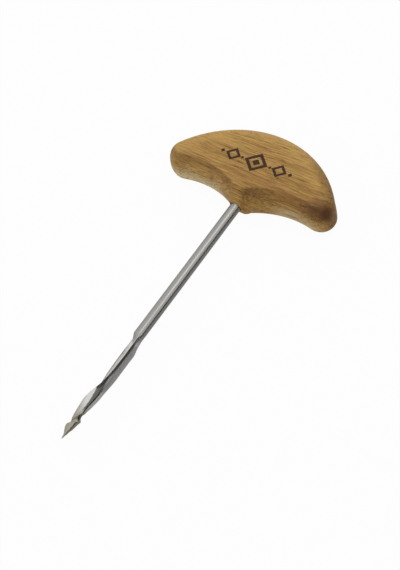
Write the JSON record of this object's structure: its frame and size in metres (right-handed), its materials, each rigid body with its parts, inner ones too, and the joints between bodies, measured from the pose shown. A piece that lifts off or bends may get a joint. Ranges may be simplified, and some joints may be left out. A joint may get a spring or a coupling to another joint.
{
  "type": "gimlet",
  "caption": "Hand gimlet: a crescent hardwood handle set across a slim steel bit whose open channel twists into a screw point, for boring small holes in wood",
  "frame": {"origin": "bottom centre of the box of the whole tool, which lies on the back face of the handle", "axes": "+Y from the screw point to the crown of the handle, +X along the handle, +Z out of the front face of the handle"},
  "size_m": [0.102, 0.2003, 0.021],
  "materials": {
    "hardwood": "oiled golden-brown hardwood with open grain along the handle",
    "steel": "satin drawn and forged steel"
  },
  "bodies": {
    "root": {"handle": "hardwood", "bit": "steel"}
  },
  "joints": []
}
